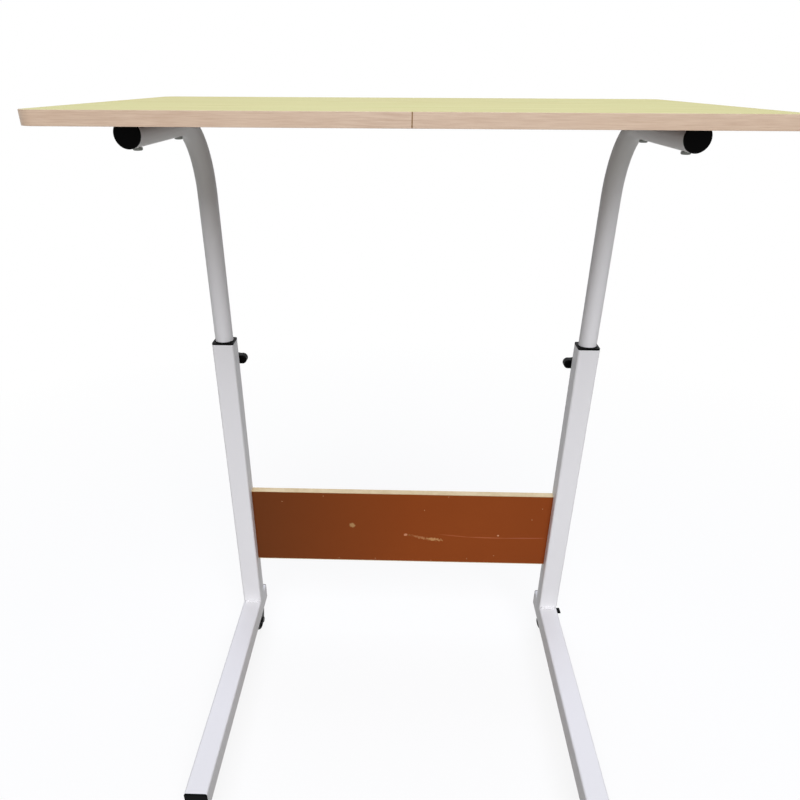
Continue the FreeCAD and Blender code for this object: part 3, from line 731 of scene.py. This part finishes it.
bm = bmesh.new()
for side in ("left", "right"):
    low, high = (Vector(corner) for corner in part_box(side + "_upright"))
    length = high.x - low.x - 2 * SQUARE_CORNER
    weld_run(bm, Vector((low.x + SQUARE_CORNER, low.y, low.z)), length, -1)
    weld_run(bm, Vector((low.x + SQUARE_CORNER, high.y, low.z)), length, 1)
piece_from(bm, "weld_runs", "weld_beads", sharp_degrees=STEEP_DEGREES)

# %% [markdown]
# ## Castor wheels
# A moulded nylon wheel has a slightly crowned tread, round shoulders, and a thin web between rim and hub that
# six ribs stiffen on each side. Half of its cross-section is a short list of points; the other half is its
# mirror image. A full spin round the axle makes the wheel, and the ribs are small blocks. The wheel is made
# at the origin with its axle along Y, and then set on its joint.

# %% Castor wheels
WHEEL_STEPS = 72
WHEEL_RIBS = 6
# All in millimetres. The section's points are radius and offset from the wheel's middle, from tread to bore.
HALF_SECTION = [
    (19.0, 0.0), (18.95, 3.0), (18.7, 5.2), (18.0, 6.9), (17.0, 7.7), (15.8, 8.0), (15.0, 7.9), (14.5, 7.4),
    (14.2, 6.0), (13.6, 4.6), (12.6, 4.2), (8.8, 4.2), (7.9, 4.6), (7.5, 5.6), (7.4, 7.4), (6.8, 8.0),
    (3.1, 8.0),
]
RIB_RADII = (7.0, 14.4)
RIB_OFFSETS = (4.0, 6.4)
RIB_HALF_THICK = 0.8
joints = {joint["name"]: joint for joint in record["behaviour"]["joints"]}
castor_names = [side + "_" + end for side in ("left", "right") for end in ("front", "rear")]


def joint_place(joint):
    """The turn and shift that set a piece, made at the origin with its axle along Y, on its joint."""
    heading = math.atan2(-joint["axis"][0], joint["axis"][1])
    return Matrix.Translation(joint["pos_m"]) @ Matrix.Rotation(heading, 4, "Z")


def castor_wheel(name):
    """Spun wheel with ribs on both sides, on its roll joint."""
    bm = bmesh.new()
    section = HALF_SECTION + [(radius, -offset) for radius, offset in reversed(HALF_SECTION[1:])]
    ring = [bm.verts.new((radius * MM, offset * MM, 0)) for radius, offset in section]
    edges = [bm.edges.new((ring[k - 1], ring[k])) for k in range(len(ring))]
    bmesh.ops.spin(bm, geom=ring + edges, cent=(0, 0, 0), axis=(0, 1, 0), angle=2 * math.pi,
                   steps=WHEEL_STEPS, use_merge=True)
    near, far = RIB_OFFSETS
    for k in range(WHEEL_RIBS):
        turn = Matrix.Rotation(2 * math.pi * k / WHEEL_RIBS, 3, "Y")
        for low_y, high_y in ((near, far), (-far, -near)):
            rib_low = Vector((RIB_RADII[0], low_y, -RIB_HALF_THICK)) * MM
            rib_high = Vector((RIB_RADII[1], high_y, RIB_HALF_THICK)) * MM
            rib = block(bm, rib_low, rib_high)
            bmesh.ops.rotate(bm, cent=(0, 0, 0), matrix=turn, verts=rib)
    bmesh.ops.transform(bm, matrix=joint_place(joints[name + "_roll"]), verts=bm.verts)
    piece_from(bm, name + "_nylon_wheel", name + "_castor_wheel")


for name in castor_names:
    castor_wheel(name)

# %% [markdown]
# ## Softened mouldings and pressings
# The plugs, collars, forks, clamp nuts and the crossboard's bands have the right shape already, and only
# their edges are too sharp. The mouldings get a radius of about a third of a millimetre, the pressed forks a
# larger one.

# %% Softened mouldings and pressings
MOULDING_RADIUS = 0.35 * MM
PRESSING_RADIUS = 0.5 * MM
NUT_RADIUS = 0.3 * MM

soft_radius = {"crossboard_edge_bands": BAND_ARRIS / 2, "clamp_nuts": NUT_RADIUS}
for side in ("left", "right"):
    for moulding in ("_collar", "_foot_front_plug", "_foot_rear_plug"):
        soft_radius[side + moulding] = MOULDING_RADIUS
for name in castor_names:
    soft_radius[name + "_castor_fork"] = PRESSING_RADIUS
for node, radius in soft_radius.items():
    piece_from(softened_copy(node, radius), node + "_softened", node)

# %% [markdown]
# ## Brake pedals
# The right castors have brake pedals, mouldings like the plugs. Cross ribs on each pedal give the shoe its
# grip: a row of small blocks, made at the origin and set on the pedal's joint.

# %% Brake pedals with grip ribs
PEDAL_RIBS = 4
RIB_START = Vector((5.2, -5.2, 3.7)) * MM
RIB_END = Vector((6.2, 5.2, 4.5)) * MM
RIB_STEP = Vector((2.5, 0, 0)) * MM

for name in ("right_front", "right_rear"):
    bm = softened_copy(name + "_brake_pedal", MOULDING_RADIUS)
    ribs = []
    for k in range(PEDAL_RIBS):
        ribs += block(bm, RIB_START + k * RIB_STEP, RIB_END + k * RIB_STEP)
    bmesh.ops.transform(bm, matrix=joint_place(joints[name + "_brake"]), verts=ribs)
    piece_from(bm, name + "_ribbed_pedal", name + "_brake_pedal")
